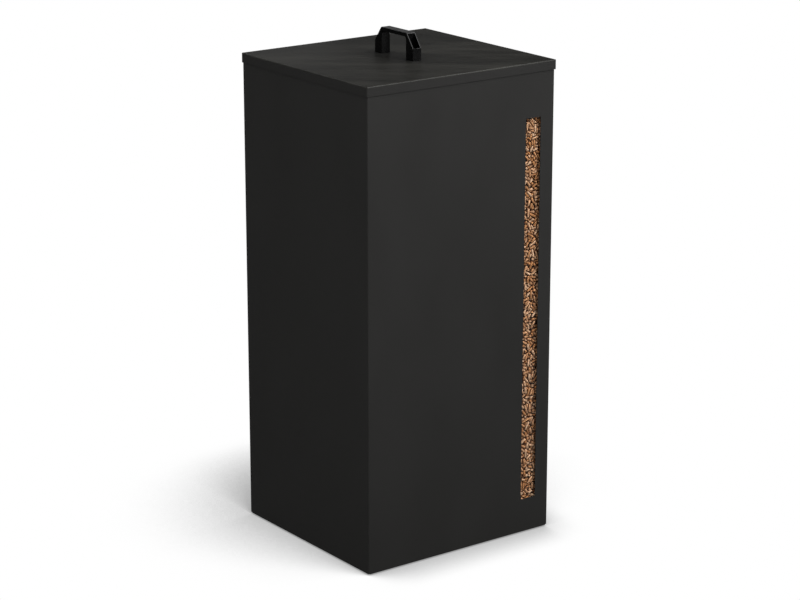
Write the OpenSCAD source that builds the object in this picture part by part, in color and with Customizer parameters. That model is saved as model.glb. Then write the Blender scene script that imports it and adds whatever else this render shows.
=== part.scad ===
// Pellet storage bin: a folded sheet steel body with a tall, narrow window
// and a lift-off lid with a moulded bridge handle.
// The window is in the front, which faces -Y. The origin is on the floor, under the middle of the body.

/* [Body] */
// Outside width of the body, across the window face
body_w = 325; // [270:1:420]
// Outside depth of the body, front to back
body_d = 302; // [250:1:400]
// Height of the body, from its bottom edge to its rim
body_h = 698; // [500:1:900]
// Thickness of the body sheet
sheet_t = 1; // [0.8:0.1:1.5]
// Inside radius of every fold in the sheets
fold_r = 0.6; // [0.4:0.1:1]
// Width of the flange turned in round the mouth
rim_w = 12; // [10:1:20]
// Width of the flange turned in under the floor
base_flange_w = 28; // [26:1:40]
// Depth of the flanges that join the back panel to the side walls
back_flange_w = 15; // [10:1:25]
// Gap between the back panel's flanges and the side walls
join_gap = 0.1; // [0.05:0.05:0.2]
// Corner left unfolded at each end of a flange
corner_relief = 3; // [2.8:0.1:4]
// Half of the gap between two flanges that meet at a mitre
mitre_gap = 0.3; // [0.2:0.1:0.5]

/* [Floor pan] */
// Height of the pan's turned-up lip
pan_lip_h = 12; // [8:1:20]
// Clearance between the pan and the walls
pan_gap = 0.4; // [0.3:0.1:0.6]

/* [Window] */
// Width of the window slot
slot_w = 27; // [18:1:36]
// Distance from the body's bottom edge to the slot
slot_bottom = 51; // [40:1:90]
// Distance from the rim down to the slot
slot_top = 77; // [50:1:120]
// Distance from the slot to the right side of the body
slot_side = 23.5; // [23:0.5:60]
// Corner radius of the slot
slot_r = 0.5; // [0.3:0.1:2]
// Thickness of the clear pane
pane_t = 3; // [2:0.5:5]
// Overlap of the pane behind the sheet, all round
pane_lap = 10; // [9:0.5:12]
// Thickness of the foam gasket under the pane
gasket_t = 1; // [0.5:0.1:2]
// Width of the foam gasket
gasket_w = 7; // [5:0.5:7.5]
// Distance from the pane's edge in to the gasket
gasket_inset = 1; // [0.5:0.1:1.5]

/* [Clamp strips] */
// Thickness of the clamp strips' sheet
strip_t = 1; // [0.8:0.1:1.5]
// Width of the strip's foot, which the nuts hold down
strip_foot_w = 10; // [9.8:0.1:10.2]
// Overlap of the strip's lip on the pane
strip_lip_w = 6; // [4:0.5:8]
// Clearance between the strip and the pane's edge
strip_gap = 0.5; // [0.3:0.1:0.6]
// Number of studs along each strip
stud_count = 5; // [3:1:8]
// Distance from the strip's end to the first stud
stud_end = 25; // [15:1:40]
// Diameter of the weld studs
stud_d = 4; // [3:0.5:4]
// Length of the weld studs
stud_l = 8; // [7:0.5:12]
// Width across flats of the stud nuts
stud_nut_af = 7; // [6:0.5:7]
// Height of the stud nuts
stud_nut_h = 3.2; // [2:0.1:4]
// Diameter of the washers under the stud nuts
stud_washer_d = 8; // [7:0.5:8]
// Thickness of the washers under the stud nuts
stud_washer_t = 0.5; // [0.3:0.1:0.8]

/* [Lid] */
// Thickness of the lid sheet
lid_t = 1; // [0.8:0.1:1.5]
// Outside height of the lid's skirt
skirt_h = 14; // [12:1:30]
// Clearance between the skirt and the body
lid_gap = 0.6; // [0.5:0.1:1.5]
// Corner radius of the skirt, dressed smooth over its seams
lid_corner_r = 1.5; // [0.5:0.1:2]
// Diameter of the rubber buffers between the lid and the rim
buffer_d = 8; // [6:0.5:8]
// Thickness of the buffers
buffer_t = 1; // [0.8:0.1:2]
// Distance from the side of the body to a buffer's centre
buffer_side = 40; // [30:1:60]

/* [Handle] */
// Length of the handle at its base
handle_l = 90; // [84:1:110]
// Length of the handle's flat top
handle_top_l = 60; // [50:1:64]
// Width of the handle
handle_w = 15; // [13:0.5:20]
// Height of the handle
handle_h = 38; // [34:1:50]
// Height of the upright end below the slope
shoulder_h = 17.5; // [15:0.5:26]
// Thickness of the bar over the fingers
bar_t = 5.5; // [4:0.5:8]
// Corner radius of the finger opening
grip_r = 4; // [2:0.5:8]
// Distance from the bar's end in to the leg's inner face
leg_inset = 1; // [0.5:0.1:3]
// Thickness of the walls beside each screw pocket
pocket_wall = 1.6; // [1.2:0.1:1.8]
// Thickness of the wall at the pocket's outer end
pocket_end_wall = 2; // [1.5:0.1:3]
// Thickness of the lip between the bar and the pocket
pocket_top_wall = 1; // [0.6:0.1:1.5]
// Thickness of the plastic under the screw head
pocket_floor = 5; // [4:0.5:8]

/* [Handle screws] */
// Diameter of the handle screws
screw_d = 5; // [4:0.5:5]
// Length of the handle screws under the head
screw_l = 12; // [12:1:20]
// Diameter of the screw head
head_d = 8.5; // [7:0.5:9]
// Height of the screw head
head_h = 5; // [3:0.5:6]
// Width across flats of the hexagon socket
socket_af = 4; // [3:0.5:4]
// Depth of the hexagon socket
socket_h = 2.5; // [2:0.1:2.8]
// Diameter of the washers under the lid
washer_d = 10; // [9:0.5:14]
// Thickness of the washers
washer_t = 1; // [0.8:0.1:1.5]
// Width across flats of the handle nuts
nut_af = 8; // [7:0.5:8]
// Height of the handle nuts
nut_h = 4; // [3:0.1:5]
// Clearance between a screw and its hole, all round
hole_gap = 0.25; // [0.2:0.05:0.4]
// Play between a screw and its nut, all round
thread_gap = 0.05; // [0.03:0.01:0.1]

/* [Feet] */
// Diameter of the push-in rubber feet
foot_d = 22; // [18:1:24]
// Height of the feet below the body
foot_h = 2; // [2:0.5:8]
// Edge chamfer of the feet
foot_chamfer = 0.8; // [0.4:0.1:1.2]
// Diameter of the foot's neck
neck_d = 8; // [6:0.5:9]
// Diameter of the foot's barb
barb_d = 10; // [9.5:0.5:12]
// Height of the foot's barb
barb_h = 4; // [3:0.5:6]
// Diameter of the barb's tip
barb_tip_d = 6; // [4:0.5:7]
// Play between the foot's neck and its hole, all round
neck_gap = 0.1; // [0.05:0.05:0.2]
// Distance from the side of the body to a foot's centre
foot_side = 15; // [14:0.5:16]
// Distance from the front or back of the body to a foot's centre
foot_end = 42; // [42:1:70]

/* [Hidden] */
$fn = 48;
// Cuts run past the surfaces that they open by this much
over = 1;

// The folds' outside radius, and the heights of the rim and of the lid's top
fold_out = fold_r + sheet_t;
lid_fold_out = fold_r + lid_t;
rim_z = foot_h + body_h;
lid_top = rim_z + buffer_t + lid_t;

// The floor pan lies on the base flanges
pan_w = body_w - 2 * (sheet_t + pan_gap);
pan_d = body_d - 2 * (sheet_t + pan_gap);
pan_z = foot_h + sheet_t;

// The back panel stands between the side walls
back_w = body_w - 2 * (sheet_t + join_gap);

// The window stack, from the inner face of the front wall inward
front_in_y = -body_d / 2 + sheet_t;
slot_h = body_h - slot_bottom - slot_top;
slot_x = body_w / 2 - slot_side - slot_w / 2;
slot_z = foot_h + slot_bottom + slot_h / 2;
pane_w = slot_w + 2 * pane_lap;
pane_h = slot_h + 2 * pane_lap;
stack_t = gasket_t + pane_t;

// The strip's profile is drawn from the outer end of its foot
strip_web_x = strip_foot_w - strip_t;
stud_x = strip_web_x / 2;
strip_edge = pane_w / 2 + strip_gap + strip_foot_w;
stud_pitch = (pane_h - 2 * stud_end) / (stud_count - 1);

// The lid's outside size
lid_w = body_w + 2 * (lid_gap + lid_t);
lid_d = body_d + 2 * (lid_gap + lid_t);

// The pockets lie in the handle's sloped ends, and the screws in the middle of the pockets
pocket_in_y = handle_top_l / 2 + pocket_top_wall;
pocket_out_y = handle_l / 2 - pocket_end_wall;
pocket_w = handle_w - 2 * pocket_wall;
screw_y = (pocket_in_y + pocket_out_y) / 2;
leg_in_y = handle_top_l / 2 - leg_inset;

coat = "#2b2b2a";
moulding = "#141414";
zinc = "#b9bcc0";
rubber = "#1b1b1b";

// Sides of a box, counted anticlockwise from the front
FRONT = 0;
RIGHT = 1;
BACK = 2;
LEFT = 3;
function side_length(side, w, d) = side % 2 == 0 ? w : d;

// Puts a piece drawn along X, with its outer face on Y = 0 and its inside towards +Y, on one side of a box
module on_side(side, w, d) {
    rotate([0, 0, 90 * side])
        translate([0, -side_length(side + 1, w, d) / 2, 0])
            children();
}

// A profile drawn in the Y-Z plane, extruded along X and centred there
module along_x(length) {
    translate([-length / 2, 0, 0])
        rotate([90, 0, 90])
            linear_extrude(length)
                children();
}

// Section of a folded corner: a leg up and a leg in, with the outer corner at the origin
module angle_profile(up, inward, t) {
    r_out = fold_r + t;
    translate([r_out, r_out])
        intersection() {
            difference() {
                circle(r_out);
                circle(fold_r);
            }
            translate([-r_out, -r_out])
                square(r_out);
        }
    if (up > r_out)
        translate([0, r_out])
            square([t, up - r_out]);
    if (inward > r_out)
        translate([r_out, 0])
            square([inward - r_out, t]);
}

// Plan of a flange that is cut back at both ends and mitred to its neighbours
module mitre_plan(length, width, relief, gap) {
    half = length / 2;
    polygon([
        [-half + relief, 0],
        [half - relief, 0],
        [half - relief, relief - gap],
        [half - width - gap, width],
        [-half + width + gap, width],
        [-half + relief, relief - gap]
    ]);
}

// A flange turned in at the bottom of a wall, with its underside on Z = 0
module flange(length, width) {
    intersection() {
        along_x(length)
            angle_profile(fold_out, width, sheet_t);
        linear_extrude(fold_out)
            mitre_plan(length, width, corner_relief, mitre_gap);
    }
}

// The base flange and the rim flange of one side of the body
module wall_flanges(side) {
    length = side_length(side, body_w, body_d);
    on_side(side, body_w, body_d) {
        translate([0, 0, foot_h])
            flange(length, base_flange_w);
        translate([0, 0, rim_z])
            mirror([0, 0, 1])
                flange(length, rim_w);
    }
}

// Plan of a wall that folds round two corners at its front, open at the back
module channel_plan(w, d, t) {
    r_out = fold_r + t;
    difference() {
        channel_fill(w, d, r_out);
        translate([0, t])
            channel_fill(w - 2 * t, d, fold_r);
    }
}

// A rectangle from Y = 0 to Y = d with its two front corners rounded
module channel_fill(w, d, r) {
    translate([-w / 2 + r, 0])
        square([w - 2 * r, d]);
    translate([-w / 2, r])
        square([w, d - r]);
    for (x = [-w / 2 + r, w / 2 - r])
        translate([x, r])
            circle(r);
}

// A rectangle with rounded corners, centred on the origin
module rounded_rectangle(w, h, r) {
    square([w - 2 * r, h], center = true);
    square([w, h - 2 * r], center = true);
    for (x = [-1, 1], y = [-1, 1])
        translate([x * (w / 2 - r), y * (h / 2 - r)])
            circle(r);
}

// Holes for the feet through the base flanges and the floor pan
module foot_holes() {
    for (x = [-1, 1], y = [-1, 1])
        translate([x * (body_w / 2 - foot_side), y * (body_d / 2 - foot_end), foot_h - over])
            cylinder(h = 2 * sheet_t + 2 * over, d = neck_d + 2 * neck_gap);
}

// Puts a piece drawn in the X-Z plane about the slot's centre behind the front wall
module at_window(depth) {
    translate([slot_x, front_in_y + depth, slot_z])
        children();
}

// One sheet folded into the left wall, the front and the right wall
module body_wrap() {
    color(coat)
        difference() {
            union() {
                translate([0, -body_d / 2, foot_h + fold_out])
                    linear_extrude(body_h - 2 * fold_out)
                        channel_plan(body_w, body_d, sheet_t);
                for (side = [LEFT, FRONT, RIGHT])
                    wall_flanges(side);
            }
            at_window(-sheet_t - over)
                rotate([-90, 0, 0])
                    linear_extrude(sheet_t + 2 * over)
                        rounded_rectangle(slot_w, slot_h, slot_r);
            foot_holes();
        }
}

// The back wall, with side flanges that lie inside the side walls
module back_panel() {
    flat_w = back_w - 2 * fold_out;
    flange_z = foot_h + fold_out + join_gap;
    flange_top = rim_z - fold_out - join_gap;
    color(coat)
        difference() {
            union() {
                translate([-flat_w / 2, body_d / 2 - sheet_t, foot_h + fold_out])
                    cube([flat_w, sheet_t, body_h - 2 * fold_out]);
                translate([0, body_d / 2, flange_z])
                    rotate([0, 0, 180])
                        linear_extrude(flange_top - flange_z)
                            channel_plan(back_w, back_flange_w, sheet_t);
                wall_flanges(BACK);
            }
            foot_holes();
        }
}

// The floor of the bin, a sheet with turned-up lips on the base flanges
module floor_pan() {
    notch_w = body_w / 2 - sheet_t - join_gap - sheet_t - pan_gap;
    notch_d = body_d / 2 - back_flange_w - pan_gap;
    color(coat)
        translate([0, 0, pan_z])
            difference() {
                union() {
                    linear_extrude(sheet_t)
                        square([pan_w - 2 * fold_out, pan_d - 2 * fold_out], center = true);
                    for (side = [FRONT, RIGHT, BACK, LEFT])
                        on_side(side, pan_w, pan_d)
                            along_x(side_length(side, pan_w, pan_d) - 2 * corner_relief)
                                angle_profile(pan_lip_h, fold_out, sheet_t);
                }
                for (side = [-1, 1])
                    translate([side > 0 ? notch_w : -notch_w - body_w, notch_d, -over])
                        cube([body_w, body_d, pan_lip_h + 2 * over]);
                translate([0, 0, -pan_z])
                    foot_holes();
            }
}

// The clear pane behind the slot
module window_pane() {
    color("lightgrey", 0.35)
        at_window(gasket_t + pane_t / 2)
            cube([pane_w, pane_t, pane_h], center = true);
}

// A frame of foam tape between the pane and the sheet
module window_gasket() {
    outer_w = pane_w - 2 * gasket_inset;
    outer_h = pane_h - 2 * gasket_inset;
    color(rubber)
        at_window(0)
            rotate([-90, 0, 0])
                linear_extrude(gasket_t)
                    difference() {
                        square([outer_w, outer_h], center = true);
                        square([outer_w - 2 * gasket_w, outer_h - 2 * gasket_w], center = true);
                    }
}

// Section of a clamp strip: a foot on the sheet, a web beside the pane and a lip over it
module strip_profile() {
    lip_end = strip_foot_w + strip_gap + strip_lip_w;
    polygon([
        [0, 0],
        [strip_foot_w, 0],
        [strip_foot_w, stack_t],
        [lip_end, stack_t],
        [lip_end, stack_t + strip_t],
        [strip_web_x, stack_t + strip_t],
        [strip_web_x, strip_t],
        [0, strip_t]
    ]);
}

// Heights of the studs, from the window's centre
function stud_heights() = [for (i = [0 : stud_count - 1]) -pane_h / 2 + stud_end + i * stud_pitch];

// A Z-shaped strip that holds one long edge of the pane, drawn for the left edge
module clamp_strip(side) {
    color(coat)
        at_window(0)
            mirror([side > 0 ? 1 : 0, 0, 0])
                translate([-strip_edge, 0, 0])
                    difference() {
                        translate([0, 0, -pane_h / 2])
                            linear_extrude(pane_h)
                                strip_profile();
                        for (z = stud_heights())
                            translate([stud_x, -over, z])
                                rotate([-90, 0, 0])
                                    cylinder(h = strip_t + 2 * over, d = stud_d + 2 * hole_gap);
                    }
}

// Puts a piece drawn along +Z at each stud, with Z turned inward
module at_studs(depth) {
    at_window(depth)
        for (side = [-1, 1], z = stud_heights())
            translate([side * (strip_edge - stud_x), 0, z])
                rotate([-90, 0, 0])
                    children();
}

// Studs welded to the inside of the front wall
module window_studs() {
    color(zinc)
        at_studs(0)
            cylinder(h = stud_l, d = stud_d);
}

// A hexagon nut standing on Z = 0
module nut(af, h, bore) {
    difference() {
        cylinder(h = h, d = af / cos(30), $fn = 6);
        translate([0, 0, -over])
            cylinder(h = h + 2 * over, d = bore);
    }
}

// A flat washer standing on Z = 0
module washer(d, h, bore) {
    difference() {
        cylinder(h = h, d = d);
        translate([0, 0, -over])
            cylinder(h = h + 2 * over, d = bore);
    }
}

// Washers on the clamp strips
module window_washers() {
    color(zinc)
        at_studs(strip_t)
            washer(stud_washer_d, stud_washer_t, stud_d + 2 * hole_gap);
}

// Nuts that hold the clamp strips
module window_nuts() {
    color(zinc)
        at_studs(strip_t + stud_washer_t)
            nut(stud_nut_af, stud_nut_h, stud_d + 2 * thread_gap);
}

// Puts a piece at each handle screw, at a height from the lid's top
module at_screws(z) {
    for (y = [-1, 1])
        translate([0, y * screw_y, lid_top + z])
            children();
}

// The lid, a sheet with a skirt folded down and closed at the corners
module lid_panel() {
    color(coat)
        difference() {
            translate([0, 0, lid_top])
                mirror([0, 0, 1])
                    intersection() {
                        union() {
                            linear_extrude(lid_t)
                                square([lid_w - 2 * lid_fold_out, lid_d - 2 * lid_fold_out], center = true);
                            for (side = [FRONT, RIGHT, BACK, LEFT])
                                lid_skirt(side);
                        }
                        linear_extrude(skirt_h)
                            rounded_rectangle(lid_w, lid_d, lid_corner_r);
                    }
            at_screws(-lid_t - over)
                cylinder(h = lid_t + 2 * over, d = screw_d + 2 * hole_gap);
        }
}

// Rubber buffers stuck under the lid, on the flat of the front and back rim flanges
module lid_buffers() {
    rim_middle = (fold_out + rim_w) / 2;
    color(rubber)
        for (x = [-1, 1], y = [-1, 1])
            translate([x * (body_w / 2 - buffer_side), y * (body_d / 2 - rim_middle), rim_z])
                cylinder(h = buffer_t, d = buffer_d);
}

// One side of the lid's skirt, mitred at both ends, with the lid's top on Z = 0
module lid_skirt(side) {
    length = side_length(side, lid_w, lid_d);
    on_side(side, lid_w, lid_d)
        intersection() {
            along_x(length)
                angle_profile(skirt_h, lid_fold_out, lid_t);
            linear_extrude(skirt_h)
                mitre_plan(length, lid_fold_out, 0, 0);
        }
}

// Side view of the handle, with its feet on the lid
module handle_profile() {
    difference() {
        polygon([
            [-handle_l / 2, 0],
            [handle_l / 2, 0],
            [handle_l / 2, shoulder_h],
            [handle_top_l / 2, handle_h],
            [-handle_top_l / 2, handle_h],
            [-handle_l / 2, shoulder_h]
        ]);
        grip_opening();
    }
}

// Side view of the space for the fingers, rounded where the bar meets the legs
module grip_opening() {
    top = handle_h - bar_t;
    translate([-leg_in_y, -over])
        square([2 * leg_in_y, top - grip_r + over]);
    translate([-leg_in_y + grip_r, 0])
        square([2 * (leg_in_y - grip_r), top]);
    for (y = [-1, 1])
        translate([y * (leg_in_y - grip_r), top - grip_r])
            circle(grip_r);
}

// The moulded bridge handle, with a screw pocket in each sloped end
module handle() {
    color(moulding)
        translate([0, 0, lid_top])
            difference() {
                along_x(handle_w)
                    handle_profile();
                for (turn = [0, 180])
                    rotate([0, 0, turn])
                        screw_pocket();
            }
}

// The space above one screw's head, open over the end wall, and the hole for its shank
module screw_pocket() {
    along_x(pocket_w)
        polygon([
            [pocket_in_y, pocket_floor],
            [pocket_out_y, pocket_floor],
            [pocket_out_y, shoulder_h],
            [handle_l / 2 + over, shoulder_h],
            [handle_l / 2 + over, handle_h],
            [pocket_in_y, handle_h]
        ]);
    translate([0, screw_y, -over])
        cylinder(h = pocket_floor + 2 * over, d = screw_d + 2 * hole_gap);
}

// Socket head screws down through the handle and the lid
module handle_screws() {
    color(zinc)
        at_screws(pocket_floor)
            difference() {
                union() {
                    cylinder(h = head_h, d = head_d);
                    translate([0, 0, -screw_l])
                        cylinder(h = screw_l, d = screw_d);
                }
                translate([0, 0, head_h - socket_h])
                    cylinder(h = socket_h + over, d = socket_af / cos(30), $fn = 6);
            }
}

// Washers against the underside of the lid
module handle_washers() {
    color(zinc)
        at_screws(-lid_t - washer_t)
            washer(washer_d, washer_t, screw_d + 2 * hole_gap);
}

// Nuts under the washers
module handle_nuts() {
    color(zinc)
        at_screws(-lid_t - washer_t - nut_h)
            nut(nut_af, nut_h, screw_d + 2 * thread_gap);
}

// A push-in rubber foot: a disc on the floor, a neck through both sheets and a barb above them
module foot(x, y) {
    neck_top = foot_h + 2 * sheet_t;
    color(rubber)
        translate([x * (body_w / 2 - foot_side), y * (body_d / 2 - foot_end), 0])
            rotate_extrude()
                polygon([
                    [0, 0],
                    [foot_d / 2 - foot_chamfer, 0],
                    [foot_d / 2, foot_chamfer],
                    [foot_d / 2, foot_h],
                    [neck_d / 2, foot_h],
                    [neck_d / 2, neck_top],
                    [barb_d / 2, neck_top],
                    [barb_tip_d / 2, neck_top + barb_h],
                    [0, neck_top + barb_h]
                ]);
}

body_wrap();
back_panel();
floor_pan();
window_pane();
window_gasket();
clamp_strip(-1);  // clamp_strip_left
clamp_strip(1);  // clamp_strip_right
window_studs();
window_washers();
window_nuts();
lid_panel();
lid_buffers();
handle();
handle_screws();
handle_washers();
handle_nuts();
foot(-1, -1);  // foot_front_left
foot(1, -1);  // foot_front_right
foot(-1, 1);  // foot_back_left
foot(1, 1);  // foot_back_right
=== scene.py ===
"""Pellet storage bin: a tall powder-coated sheet steel bin with a viewing window, a lift-off lid and a
moulded handle, filled with wood pellets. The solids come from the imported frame. This script dresses them."""
import math

import bmesh
import bpy
import numpy as np
from mathutils import Matrix, Vector, noise


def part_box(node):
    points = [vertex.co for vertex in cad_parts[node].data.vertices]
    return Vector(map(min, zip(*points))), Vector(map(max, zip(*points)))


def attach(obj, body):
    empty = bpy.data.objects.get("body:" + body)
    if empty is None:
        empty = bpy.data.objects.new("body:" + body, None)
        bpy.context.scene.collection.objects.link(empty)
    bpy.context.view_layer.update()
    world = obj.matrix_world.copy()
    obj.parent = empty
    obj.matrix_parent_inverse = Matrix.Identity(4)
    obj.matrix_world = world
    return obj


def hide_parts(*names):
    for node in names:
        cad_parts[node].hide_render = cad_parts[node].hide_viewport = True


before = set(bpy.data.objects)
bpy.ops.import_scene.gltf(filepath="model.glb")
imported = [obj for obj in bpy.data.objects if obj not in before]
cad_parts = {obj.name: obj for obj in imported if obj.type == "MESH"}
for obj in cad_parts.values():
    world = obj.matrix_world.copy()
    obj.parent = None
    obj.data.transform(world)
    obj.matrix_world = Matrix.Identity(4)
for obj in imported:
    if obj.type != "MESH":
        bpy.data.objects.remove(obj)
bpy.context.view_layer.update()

# The camera stands in front of the bin and to its left, a little above the lid, and looks slightly down.
# A long lens keeps the edges nearly parallel.
camera_place = (-2.0908, -2.8322, 1.3786)
camera_turn = math.radians(-36.485)
camera_tilt = math.radians(16.406)
film_width = 36
lens_length = 113.55
camera_data = bpy.data.cameras.new("camera")
camera_data.sensor_width = film_width
camera_data.lens = lens_length
camera = bpy.data.objects.new("camera", camera_data)
camera.location = camera_place
camera.rotation_euler = (math.pi / 2 - camera_tilt, 0, camera_turn)
bpy.context.scene.collection.objects.link(camera)
bpy.context.scene.camera = camera
bpy.context.scene.view_settings.view_transform = "Standard"

# The floor is a wide white sheet. The camera sees it white, with a soft shadow that leans to the back left
# and a faint one in front, found from how much of the sky on that side the bin hides. To every other ray the
# floor is a dull grey, because the photographed bin picks up no white from below.
floor_r = 4.0
floor_sides = 96
floor_grey = 0.05
pure_white = (1, 1, 1, 1)
back_shadow = {"lean": (-0.082, -1.510, 1.0), "reach": 0.318, "start": 0.107, "softness": 1.672, "depth": 6.6}
front_shadow = {"lean": (-1.215, 1.637, 1.0), "reach": 0.083, "start": 0.079, "softness": 2.228, "depth": 3.2}
deepest_shadow = 0.728
shadow_samples = 16


def shader_node(tree, kind, sockets=None, **settings):
    """A shader node: each socket holds a constant, or takes the output that is given for it."""
    made = tree.nodes.new("ShaderNode" + kind)
    for name, value in settings.items():
        setattr(made, name, value)
    for name, value in (sockets or {}).items():
        if isinstance(value, bpy.types.NodeSocket):
            tree.links.new(value, made.inputs[name])
        else:
            made.inputs[name].default_value = value
    return made


def reckoned(tree, operation, *values, **settings):
    """What a math node makes of those values."""
    sockets = dict(enumerate(values))
    return shader_node(tree, "Math", sockets, operation=operation, **settings).outputs[0]


def empty_finish(name):
    """A new material with only its output node."""
    material = bpy.data.materials.new(name)
    material.use_nodes = True
    material.node_tree.nodes.clear()
    return material, material.node_tree, shader_node(material.node_tree, "OutputMaterial")


def seen_directly(tree):
    """1 for rays from the camera, also straight through the clear pane, and 0 for all others."""
    path = shader_node(tree, "LightPath").outputs
    ahead = reckoned(tree, "MAXIMUM", path["Is Camera Ray"], path["Is Transmission Ray"])
    turns = reckoned(tree, "ADD", path["Diffuse Depth"], path["Glossy Depth"])
    straight = reckoned(tree, "LESS_THAN", turns, 1)
    return reckoned(tree, "MULTIPLY", ahead, straight)


def finished_object(name, shape, material):
    """A scene object from a bmesh, with its place in its mesh."""
    mesh = bpy.data.meshes.new(name)
    shape.to_mesh(mesh)
    shape.free()
    mesh.materials.append(material)
    made = bpy.data.objects.new(name, mesh)
    bpy.context.scene.collection.objects.link(made)
    return made


floor_finish, tree, output = empty_finish("white_floor")
dark = []
for shadow in (back_shadow, front_shadow):
    toward = shader_node(tree, "VectorMath", {0: shadow["lean"]}, operation="NORMALIZE").outputs[0]
    sockets = {"Distance": shadow["reach"], "Normal": toward}
    open_sky = shader_node(tree, "AmbientOcclusion", sockets, samples=shadow_samples).outputs["AO"]
    hidden = reckoned(tree, "SUBTRACT", 1 - shadow["start"], open_sky, use_clamp=True)
    soft = reckoned(tree, "POWER", hidden, shadow["softness"])
    dark.append(reckoned(tree, "MULTIPLY", soft, shadow["depth"]))
both = reckoned(tree, "ADD", dark[0], dark[1])
left = reckoned(tree, "EXPONENT", reckoned(tree, "MULTIPLY", both, -1 / deepest_shadow))
shade = reckoned(tree, "MULTIPLY_ADD", left, deepest_shadow, 1 - deepest_shadow)
white = shader_node(tree, "Emission", {"Color": pure_white, "Strength": shade})
dull = shader_node(tree, "BsdfDiffuse", {"Color": (floor_grey, floor_grey, floor_grey, 1)})
choice = shader_node(tree, "MixShader", {0: seen_directly(tree), 1: dull.outputs[0], 2: white.outputs[0]})
tree.links.new(choice.outputs[0], output.inputs["Surface"])
sheet = bmesh.new()
bmesh.ops.create_circle(sheet, cap_ends=True, segments=floor_sides, radius=floor_r)
finished_object("studio_floor", sheet, floor_finish)

# The light is an even sky, a soft box high in front and weaker ones to each side and behind. Two small lamps
# pick out the handle's rims and top, and two faint glows behind graze the handle and the lid.
# Gloss sees a much dimmer room than the camera does, because the photographed coat shows no pale haze.
sky_light = 1.0
sky_in_gloss = 0.05
backdrop_light = 1.0
world = bpy.data.worlds.new("studio")
world.use_nodes = True
bpy.context.scene.world = world
tree = world.node_tree
tree.nodes.clear()
even, dim, backdrop = [
    shader_node(tree, "Background", {"Color": pure_white, "Strength": strength}).outputs[0]
    for strength in (sky_light, sky_in_gloss, backdrop_light)
]
gloss = shader_node(tree, "LightPath").outputs["Is Glossy Ray"]
lighting = shader_node(tree, "MixShader", {0: gloss, 1: even, 2: dim}).outputs[0]
choice = shader_node(tree, "MixShader", {0: seen_directly(tree), 1: lighting, 2: backdrop}).outputs[0]
shader_node(tree, "OutputWorld", {"Surface": choice})
world.cycles.sampling_method = "NONE"


def soft_box(name, place, aim, size, power, in_gloss=True):
    """A square lamp of that size at place, turned to shine at aim."""
    lamp = bpy.data.lights.new(name, "AREA")
    lamp.shape = "SQUARE"
    lamp.size = size
    lamp.energy = power
    made = bpy.data.objects.new(name, lamp)
    made.location = place
    made.rotation_euler = (Vector(aim) - Vector(place)).to_track_quat("-Z", "Y").to_euler()
    made.visible_camera = False
    made.visible_glossy = in_gloss
    bpy.context.scene.collection.objects.link(made)


soft_box("front_soft_box", (0.60, -1.4, 1.6), (0, 0, 0.5), size=0.8, power=17.5)
soft_box("right_soft_box", (0.90, -1.1, 0.85), (0.1, -0.15, 0.55), size=0.6, power=1.8, in_gloss=False)
soft_box("right_side_box", (0.90, -0.6, 0.60), (0.15, -0.15, 0.45), size=0.5, power=1.6, in_gloss=False)
soft_box("left_soft_box", (-1.3, -1.2, 1.2), (0, 0, 0.4), size=0.8, power=4.8, in_gloss=False)
soft_box("left_low_box", (-1.1, -0.5, 0.4), (-0.16, 0, 0.35), size=0.6, power=1.2, in_gloss=False)
soft_box("edge_light", (0.736, -0.557, 1.59), (0, 0, 0.72), size=0.36, power=2.2)
soft_box("back_edge_light", (-0.46, 1.26, 1.63), (0, 0, 0.70), size=0.4, power=2.0)
soft_box("grip_glow", (1.285, 1.741, 1.133), (0, 0, 0.74), size=0.36, power=0.10)
soft_box("lid_glow", (0.20, 0.72, 0.85), (-0.12, 0.08, 0.70), size=0.3, power=0.07)
soft_box("back_soft_box", (-0.5, 1.7, 1.0), (0, 0, 0.4), size=0.8, power=3.0, in_gloss=False)

# The body wrap, back panel and floor pan are 1 mm sheet steel, folded and spot-welded. The lid and the pane's
# clamp strips are folded from the same sheet. All are powder coated: a nearly black satin film, finely
# pebbled and faintly cloudy. The lid has streaks from wiping, and painted shade darkens it close round the
# handle's feet, where the handle shades it.
body_tones = ((0.0176, 0.0172, 0.0163, 1), (0.0193, 0.0189, 0.0180, 1))
lid_tones = ((0.0089, 0.0087, 0.0073, 1), (0.0310, 0.0302, 0.0256, 1))
skirt_tone = (0.0172, 0.0168, 0.0159, 1)
body_clouds = (1, 1, 2)
lid_streaks = (2.6, 0.6, 1)
wipe_way = math.radians(-36)
cloud_waves = 11.0
coat_roughness = (0.47, 0.55)
pebble_waves = 1100.0
pebble_depth = 0.00006
fold_start = 0.003
fold_end = 0.001
# Painted shade on the lid: where the handle hides the sky within this reach, the colour falls to this share.
feet_shade_reach = 0.05
feet_shade_samples = 16
feet_shade_tone = 0.22


def principled(name, sockets):
    """A new material with one principled shader, whose plain values are given."""
    material, tree, output = empty_finish(name)
    shader = shader_node(tree, "BsdfPrincipled", sockets)
    tree.links.new(shader.outputs[0], output.inputs["Surface"])
    return material, tree, shader


def object_place(tree, stretch=(1, 1, 1), turn=(0, 0, 0)):
    """The point's place in the bin, in metres, for a pattern that is stretched along turned axes."""
    place = shader_node(tree, "TexCoord").outputs["Object"]
    sockets = {"Vector": place, "Scale": stretch, "Rotation": turn}
    return shader_node(tree, "Mapping", sockets, vector_type="TEXTURE").outputs[0]


def pattern(tree, place, scale, detail=2.0, roughness=0.5):
    """A cloudy noise from 0 to 1, with scale waves a metre."""
    sockets = {"Vector": place, "Scale": scale, "Detail": detail, "Roughness": roughness}
    return shader_node(tree, "TexNoise", sockets).outputs[0]


def between(tree, share, low, high, start=0.3, end=0.7):
    """A number that goes from low to high as share goes from start to end."""
    sockets = {"Value": share, "From Min": start, "From Max": end, "To Min": low, "To Max": high}
    return shader_node(tree, "MapRange", sockets).outputs[0]


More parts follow.
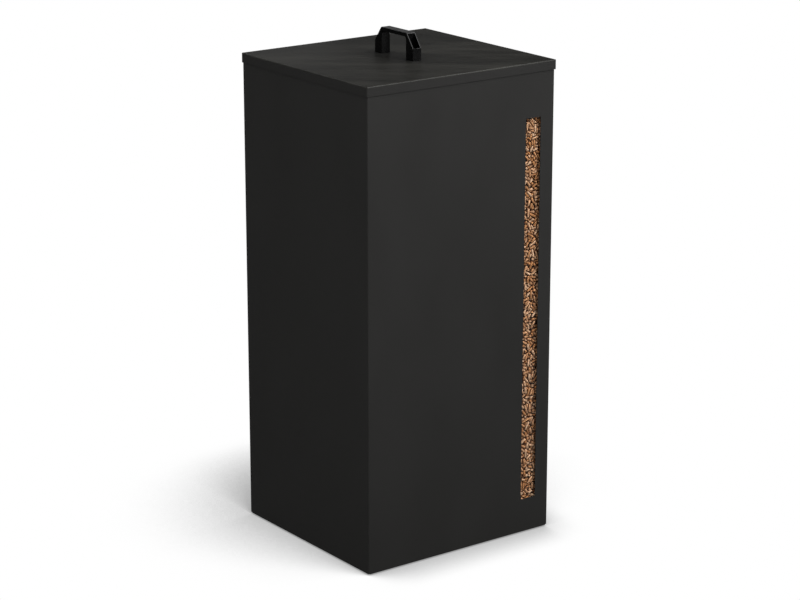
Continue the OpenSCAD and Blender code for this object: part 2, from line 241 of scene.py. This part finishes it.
def mixed_colour(tree, share, first, second):
    """A colour between first and second."""
    mixer = shader_node(tree, "Mix", {0: share}, data_type="RGBA")
    for socket, value in ((mixer.inputs[6], first), (mixer.inputs[7], second)):
        if isinstance(value, bpy.types.NodeSocket):
            tree.links.new(value, socket)
        else:
            socket.default_value = value
    return mixer.outputs[2]


def scaled(tree, tone, share):
    """A colour times a number."""
    return shader_node(tree, "VectorMath", {0: tone, 1: share}, operation="MULTIPLY").outputs[0]


def pebbled(tree, shader, height, depth):
    """Raises the skin by height times depth, in metres."""
    sockets = {"Height": height, "Distance": depth}
    tree.links.new(shader_node(tree, "Bump", sockets).outputs[0], shader.inputs["Normal"])


def powder_coat(name, tones, stretch, turn, roughness):
    """Satin powder coat, with its clouds stretched into streaks."""
    material, tree, shader = principled(name, {"IOR": 1.5, "Specular IOR Level": 0.4})
    clouds = pattern(tree, object_place(tree, stretch, turn), cloud_waves, detail=6.0, roughness=roughness)
    tone = mixed_colour(tree, between(tree, clouds, 0, 1, start=0.34, end=0.66), *tones)
    tree.links.new(tone, shader.inputs["Base Color"])
    tree.links.new(between(tree, clouds, *coat_roughness), shader.inputs["Roughness"])
    pebbled(tree, shader, pattern(tree, object_place(tree), pebble_waves), pebble_depth)
    return material, tree, shader, tone


def dress(material, *nodes):
    """Gives CAD nodes another material and leaves their meshes alone."""
    for node in nodes:
        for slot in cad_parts[node].material_slots:
            slot.material = material


body_coat = powder_coat("powder_coat_body", body_tones, body_clouds, (0, 0, 0), roughness=0.6)[0]
dress(body_coat, "body_wrap", "back_panel", "floor_pan", "clamp_strip_left", "clamp_strip_right")

lid_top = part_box("lid_panel")[1].z
lid_coat, tree, shader, wiped = powder_coat(
    "powder_coat_lid", lid_tones, lid_streaks, (0, 0, wipe_way), roughness=0.72
)
height = shader_node(tree, "SeparateXYZ", {0: object_place(tree)}).outputs["Z"]
on_top = between(tree, height, 0, 1, start=lid_top - fold_start, end=lid_top - fold_end)
tone = mixed_colour(tree, on_top, skirt_tone, wiped)
# Painted shade: the lid's colour is darkened round the handle's feet and under its bar, where the handle
# shades it.
open_air = shader_node(
    tree, "AmbientOcclusion", {"Distance": feet_shade_reach}, samples=feet_shade_samples
).outputs["AO"]
painted_feet_shade = between(tree, open_air, feet_shade_tone, 1, start=0.5, end=1.0)
tree.links.new(scaled(tree, tone, painted_feet_shade), shader.inputs["Base Color"])
dress(lid_coat, "lid_panel")

# Four push-in feet under the floor and four buffers under the lid are moulded black rubber, matt and a
# little dusty, with a fine grain.
rubber_tones = ((0.010, 0.010, 0.010, 1), (0.026, 0.025, 0.023, 1))
rubber_roughness = (0.72, 0.86)
dust_waves = 140.0
rubber_grain_waves = 2500.0
rubber_grain_depth = 0.00004
rubber, tree, shader = principled("black_rubber", {"IOR": 1.5, "Specular IOR Level": 0.3})
dust = pattern(tree, object_place(tree), dust_waves, detail=4.0, roughness=0.6)
tone = mixed_colour(tree, between(tree, dust, 0, 1), *rubber_tones)
tree.links.new(tone, shader.inputs["Base Color"])
tree.links.new(between(tree, dust, *rubber_roughness), shader.inputs["Roughness"])
rubber_grain = pattern(tree, object_place(tree), rubber_grain_waves, detail=1.0)
pebbled(tree, shader, rubber_grain, rubber_grain_depth)
dress(rubber, "foot_front_left", "foot_front_right", "foot_back_left", "foot_back_right", "lid_buffers")

# The window is a clear acrylic pane on a strip of black foam, clamped behind the slot by two folded strips.
# It is faintly rubbed. Daylight passes the pane, so shadow rays meet a nearly clear sheet.
pane_tone = (0.985, 0.995, 0.990, 1)
pane_shadow = (0.97, 0.98, 0.975, 1)
rub_stretch = (1, 1, 6)
rub_waves = 420.0
rub_roughness = (0.0, 0.035)
clear, tree, shader = principled(
    "clear_pane", {"Base Color": pane_tone, "IOR": 1.49, "Transmission Weight": 1.0}
)
rubs = pattern(tree, object_place(tree, rub_stretch), rub_waves, detail=3.0, roughness=0.6)
tree.links.new(between(tree, rubs, *rub_roughness, start=0.55, end=0.8), shader.inputs["Roughness"])
passing = shader_node(tree, "BsdfTransparent", {"Color": pane_shadow})
shadow_ray = shader_node(tree, "LightPath").outputs["Is Shadow Ray"]
choice = shader_node(tree, "MixShader", {0: shadow_ray, 1: shader.outputs[0], 2: passing.outputs[0]})
tree.links.new(choice.outputs[0], tree.nodes["Material Output"].inputs["Surface"])
dress(clear, "window_pane")

foam_tones = ((0.024, 0.024, 0.025, 1), (0.008, 0.008, 0.008, 1))
cell_waves = 1400.0
cell_depth = 0.0002
foam, tree, shader = principled("black_foam", {"Roughness": 0.95, "Specular IOR Level": 0.2})
cell_sockets = {"Vector": object_place(tree), "Scale": cell_waves}
cells = shader_node(tree, "TexVoronoi", cell_sockets).outputs["Distance"]
tone = mixed_colour(tree, between(tree, cells, 0, 1, start=0.1, end=0.7), *foam_tones)
tree.links.new(tone, shader.inputs["Base Color"])
pebbled(tree, shader, cells, cell_depth)
dress(foam, "window_gasket")

# Studs, screws, washers and nuts are zinc plated steel, a slightly uneven grey with a blue cast. The studs
# are welded behind the front wall, and the nuts hold the clamp strips and the handle.
zinc_tones = ((0.46, 0.47, 0.49, 1), (0.62, 0.62, 0.61, 1))
zinc_roughness = (0.30, 0.44)
bloom_waves = 260.0
zinc_grain_waves = 3000.0
zinc_grain_depth = 0.00001
zinc, tree, shader = principled("zinc_plate", {"Metallic": 1.0})
bloom = pattern(tree, object_place(tree), bloom_waves, detail=4.0, roughness=0.6)
tone = mixed_colour(tree, between(tree, bloom, 0, 1), *zinc_tones)
tree.links.new(tone, shader.inputs["Base Color"])
tree.links.new(between(tree, bloom, *zinc_roughness), shader.inputs["Roughness"])
zinc_grain = pattern(tree, object_place(tree), zinc_grain_waves, detail=1.0)
pebbled(tree, shader, zinc_grain, zinc_grain_depth)
dress(zinc, "window_studs", "window_washers", "window_nuts")
dress(zinc, "handle_screws", "handle_washers", "handle_nuts")

# Wood pellets fill the bin: sawdust pressed through a die into thin rods that break off at 1.5 to 3.5 times
# their width. They lie against the pane in a tumbled column and as a loose bed on top, and what nothing
# shows is one lumpy mass, coloured dark brown as painted shade of the pellets deep inside. The column's
# colour is painted paler towards its foot and darker towards its head, as painted light and shade that even
# out the light falling more strongly on its head.
pellet_r = 0.0019
pellet_shortest = 0.0055
pellet_longest = 0.0135
pellet_slant = 0.22
pellet_wear = 0.0003
mould_length = 0.010
mould_count = 8
mould_shuffle = 9999
pellet_seed = 7
chance = np.random.default_rng(pellet_seed)


def pellet_mould(sides):
    """One pellet along Z, with its ends broken off at a slant and their rims worn."""
    rod = bmesh.new()
    bmesh.ops.create_cone(
        rod, cap_ends=True, segments=sides, radius1=pellet_r, radius2=pellet_r, depth=2 * mould_length
    )
    for end in (-1, 1):
        slant = chance.uniform(-pellet_slant, pellet_slant, 2)
        cut = bmesh.ops.bisect_plane(
            rod,
            geom=rod.verts[:] + rod.edges[:] + rod.faces[:],
            plane_co=(0, 0, end * mould_length / 2),
            plane_no=(slant[0], slant[1], end),
            clear_outer=True,
        )
        rim = [part for part in cut["geom_cut"] if isinstance(part, bmesh.types.BMEdge)]
        bmesh.ops.holes_fill(rod, edges=rim)
    rims = [edge for edge in rod.edges if any(len(face.verts) > 4 for face in edge.link_faces)]
    bmesh.ops.bevel(
        rod, geom=rims, offset=pellet_wear, offset_type="OFFSET", segments=1, profile=0.5, affect="EDGES",
        material=-1,
    )
    grain = rod.verts.layers.float_vector.new("grain")
    rod.verts.layers.float.new("shade")
    for vert in rod.verts:
        vert[grain] = vert.co
    for face in rod.faces:
        face.smooth = len(face.verts) == 4
    mesh = bpy.data.meshes.new("pellet_mould")
    rod.to_mesh(mesh)
    rod.free()
    return mesh


settle_rounds = 240
rounds_per_look = 12
near_slack = 0.003
push_share = 0.45
first_shake = 0.0003
least_square = 1e-14
least_gap = 1e-9


def settled(middle, way, half, low, high, fall):
    """Pushes overlapping pellets apart, within the box, while they fall and are shaken less and less."""
    for turn in range(settle_rounds):
        if turn % rounds_per_look == 0:
            square = (middle ** 2).sum(1)
            apart = square[:, None] + square[None, :] - 2 * middle @ middle.T
            reach = half[:, None] + half[None, :] + 2 * pellet_r + near_slack
            one, two = np.nonzero(np.triu(apart < reach ** 2, 1))
        tail = middle - way * half[:, None]
        head = middle + way * half[:, None]
        along_one = (head - tail)[one]
        along_two = (head - tail)[two]
        between_tails = tail[one] - tail[two]
        square_one = (along_one * along_one).sum(1)
        square_two = (along_two * along_two).sum(1)
        across = (along_one * along_two).sum(1)
        offset_one = (along_one * between_tails).sum(1)
        offset_two = (along_two * between_tails).sum(1)
        spread = np.maximum(square_one * square_two - across * across, least_square)
        share_one = np.clip((across * offset_two - offset_one * square_two) / spread, 0, 1)
        share_two = np.clip((across * share_one + offset_two) / square_two, 0, 1)
        share_one = np.clip((across * share_two - offset_one) / square_one, 0, 1)
        gap = between_tails + along_one * share_one[:, None] - along_two * share_two[:, None]
        size = np.maximum(np.linalg.norm(gap, axis=1), least_gap)
        hit = size < 2 * pellet_r
        push = push_share * (gap * ((2 * pellet_r - size) / size)[:, None])[hit]
        for rods, share, sign in ((one, share_one, 1), (two, share_two, -1)):
            share = share[hit][:, None]
            np.add.at(tail, rods[hit], sign * push * (1 - share))
            np.add.at(head, rods[hit], sign * push * share)
        shake = chance.normal(0, first_shake * (1 - turn / settle_rounds), tail.shape)
        tail += shake
        head -= shake
        for end in (tail, head):
            end[:, 2] -= fall
            np.clip(end, low + pellet_r, high - pellet_r, out=end)
        middle = (tail + head) / 2
        way = (head - tail) / np.linalg.norm(head - tail, axis=1)[:, None]
    return middle, way


end_share = 0.6
shade_power = 1.5
roll_spread = 60


def poured(name, low, high, lengths, fall, lying, sides):
    """Pellets of those lengths in the box from low to high, tumbled, settled and joined as one piece."""
    count = len(lengths)
    middle = low + chance.random((count, 3)) * (high - low)
    way = chance.normal(size=(count, 3)) * (1, 1, lying)
    way /= np.linalg.norm(way, axis=1)[:, None]
    middle, way = settled(middle, way, lengths / 2 - end_share * pellet_r, low, high, fall)
    moulds = [pellet_mould(sides) for _ in range(mould_count)]
    heap = bmesh.new()
    for spot, direction, length, shade in zip(middle, way, lengths, chance.random(count) ** shade_power):
        pellet = moulds[int(shade * mould_shuffle) % mould_count].copy()
        pellet.attributes["shade"].data.foreach_set("value", [shade] * len(pellet.vertices))
        turn = Vector(direction).to_track_quat("Z", "Y").to_matrix().to_4x4()
        roll = Matrix.Rotation(shade * roll_spread, 4, "Z")
        size = Matrix.Diagonal((1, 1, length / mould_length, 1))
        pellet.transform(Matrix.Translation(spot) @ turn @ roll @ size)
        heap.from_mesh(pellet)
        bpy.data.meshes.remove(pellet)
    return finished_object(name, heap, wood)


pane_low, pane_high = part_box("window_pane")
wrap_low, wrap_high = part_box("body_wrap")
dark_wood = (0.58, 0.268, 0.108, 1)
fair_wood = (0.94, 0.618, 0.402, 1)
dark_fibre = (0.10, 0.030, 0.006, 1)
painted_gap_shade = (0.095, 0.018, 0.001, 1)
fibre_stretch = (1, 1, 0.22)
crack_stretch = (0.35, 0.35, 1)
wood_roughness = (0.42, 0.66)
fibre_waves = 1500.0
crack_waves = 900.0
skin_depth = 0.00018
pattern_spread = 40.0
gap_shade_reach = 0.005
gap_shade_samples = 8
painted_light_below = 1.10
painted_shade_above = 0.84
wood, tree, shader = principled("pressed_wood", {"IOR": 1.45, "Specular IOR Level": 0.1})
grain = shader_node(tree, "Attribute", attribute_name="grain").outputs["Vector"]
shade = shader_node(tree, "Attribute", attribute_name="shade").outputs["Fac"]
apart = reckoned(tree, "MULTIPLY", shade, pattern_spread)
own = shader_node(tree, "VectorMath", {0: grain, 1: apart}, operation="ADD").outputs[0]
along = shader_node(tree, "Mapping", {"Vector": own, "Scale": fibre_stretch}).outputs[0]
fibres = pattern(tree, along, fibre_waves, detail=4.0, roughness=0.65)
around = shader_node(tree, "Mapping", {"Vector": own, "Scale": crack_stretch}).outputs[0]
cracks = pattern(tree, around, crack_waves, detail=3.0, roughness=0.6)
fair = mixed_colour(tree, shade, dark_wood, fair_wood)
tone = mixed_colour(tree, between(tree, fibres, 0, 0.8, start=0.40, end=0.80), fair, dark_fibre)
# Painted shade: the colour darkens to a deep red-brown in the gaps between pellets, where shade falls.
open_air = shader_node(
    tree, "AmbientOcclusion", {"Distance": gap_shade_reach}, samples=gap_shade_samples, only_local=True
).outputs["AO"]
tone = mixed_colour(tree, between(tree, open_air, 1, 0, start=0.27, end=0.92), tone, painted_gap_shade)
# Painted light and shade: the colour is raised towards the column's foot and lowered towards its head.
level = shader_node(tree, "SeparateXYZ", {0: object_place(tree)}).outputs["Z"]
painted_height_light = between(tree, level, painted_light_below, painted_shade_above, start=pane_low.z, end=pane_high.z)
tree.links.new(scaled(tree, tone, painted_height_light), shader.inputs["Base Color"])
tree.links.new(between(tree, fibres, *wood_roughness), shader.inputs["Roughness"])
pebbled(tree, shader, reckoned(tree, "ADD", fibres, cracks), skin_depth)

# The column behind the pane fills half of its space, and spills a little past the pane's long edges.
column_fill = 0.50
column_depth = 0.0145
column_most = 4000
left_spill = 0.0005
right_spill = 0.002
pane_gap = 0.0002
play = 0.001
column_low = np.array((pane_low.x - left_spill, pane_high.y + pane_gap, pane_low.z + play))
column_high = np.array((pane_high.x + right_spill, pane_high.y + column_depth, pane_high.z))
lengths = chance.uniform(pellet_shortest, pellet_longest, column_most)
room = column_fill * np.prod(column_high - column_low)
lengths = lengths[np.cumsum(math.pi * pellet_r ** 2 * lengths) < room]
window_pellets = poured("pellets_window", column_low, column_high, lengths, fall=0.0, lying=1.0, sides=10)

# The bed lies loose from the head of the window to just under the rim.
bed_count = 3000
wall_gap = 0.0015
rim_gap = 0.014
bed_low = np.array((wrap_low.x + wall_gap, wrap_low.y + wall_gap, pane_high.z + play))
bed_high = np.array((wrap_high.x - wall_gap, wrap_high.y - wall_gap, wrap_high.z - rim_gap))
lengths = chance.uniform(pellet_shortest, pellet_longest, bed_count)
top_pellets = poured("pellets_top", bed_low, bed_high, lengths, fall=0.0004, lying=0.5, sides=8)

# The mass stands clear of the walls, behind the column and under the bed, and its skin is lumpy.
core_gap = 0.004
core_bottom = 0.018
core_cuts = 40
bulge_waves = 90
bulge_height = 0.0015
# Painted shade: the mass is coloured far darker than the pellets, as the shade deep among them.
lump_shade_tones = ((0.035, 0.018, 0.008, 1), (0.14, 0.075, 0.035, 1))
lump_waves = 120.0
lump_depth = 0.002
core_low = Vector((wrap_low.x + core_gap, column_high[1] + play, core_bottom))
core_high = Vector((wrap_high.x - core_gap, wrap_high.y - core_gap, bed_low[2]))
core = bmesh.new()
bmesh.ops.create_cube(core, size=1.0)
bmesh.ops.scale(core, vec=core_high - core_low, verts=core.verts)
bmesh.ops.translate(core, vec=(core_high + core_low) / 2, verts=core.verts)
bmesh.ops.subdivide_edges(core, edges=core.edges, cuts=core_cuts, use_grid_fill=True)
noise.seed_set(pellet_seed)
for vert in core.verts:
    vert.co += noise.noise_vector(vert.co * bulge_waves) * bulge_height
lump, tree, shader = principled("pellet_mass", {"Roughness": 0.8, "Specular IOR Level": 0.2})
lumps = pattern(tree, object_place(tree), lump_waves, detail=4.0, roughness=0.6)
tone = mixed_colour(tree, between(tree, lumps, 0, 1), *lump_shade_tones)
tree.links.new(tone, shader.inputs["Base Color"])
pebbled(tree, shader, lumps, lump_depth)
inner_pellets = finished_object("pellets_inside", core, lump)
for piece in (window_pellets, top_pellets, inner_pellets):
    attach(piece, "bin")

# The handle is a black moulded bridge, screwed down through an open pocket at each end. Its edges are
# rounded, and its skin has the fine grain of a spark-eroded mould.
handle_edge = 0.0004
handle_edge_steps = 3
same_point = 0.000001
flat_angle = math.radians(0.5)
curve_angle = 0.01
corner_angle = math.radians(24)
plastic_tones = ((0.0005, 0.0005, 0.0006, 1), (0.0011, 0.0010, 0.0010, 1))
plastic_roughness = (0.20, 0.27)
sheen_waves = 90.0
plastic_grain_waves = 2600.0
plastic_grain_depth = 0.000008
grip = bmesh.new()
grip.from_mesh(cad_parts["handle"].data)
bmesh.ops.remove_doubles(grip, verts=grip.verts, dist=same_point)
bmesh.ops.dissolve_limit(grip, angle_limit=flat_angle, verts=grip.verts, edges=grip.edges)
sharp = [edge for edge in grip.edges if edge.calc_face_angle(0) > corner_angle]
for face in grip.faces:
    face.smooth = any(curve_angle < edge.calc_face_angle(0) < corner_angle for edge in face.edges)
rounded = bmesh.ops.bevel(
    grip, geom=sharp, offset=handle_edge, offset_type="OFFSET", segments=handle_edge_steps, profile=0.5,
    affect="EDGES", clamp_overlap=True, material=-1,
)
for face in rounded["faces"]:
    face.smooth = True
plastic, tree, shader = principled("black_moulding", {"IOR": 1.5, "Specular IOR Level": 0.28})
sheen = pattern(tree, object_place(tree), sheen_waves, detail=3.0)
tone = mixed_colour(tree, between(tree, sheen, 0, 1), *plastic_tones)
tree.links.new(tone, shader.inputs["Base Color"])
tree.links.new(between(tree, sheen, *plastic_roughness), shader.inputs["Roughness"])
plastic_grain = pattern(tree, object_place(tree), plastic_grain_waves, detail=1.0)
pebbled(tree, shader, plastic_grain, plastic_grain_depth)
moulded_handle = finished_object("moulded_handle", grip, plastic)
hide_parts("handle")
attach(moulded_handle, "lid")
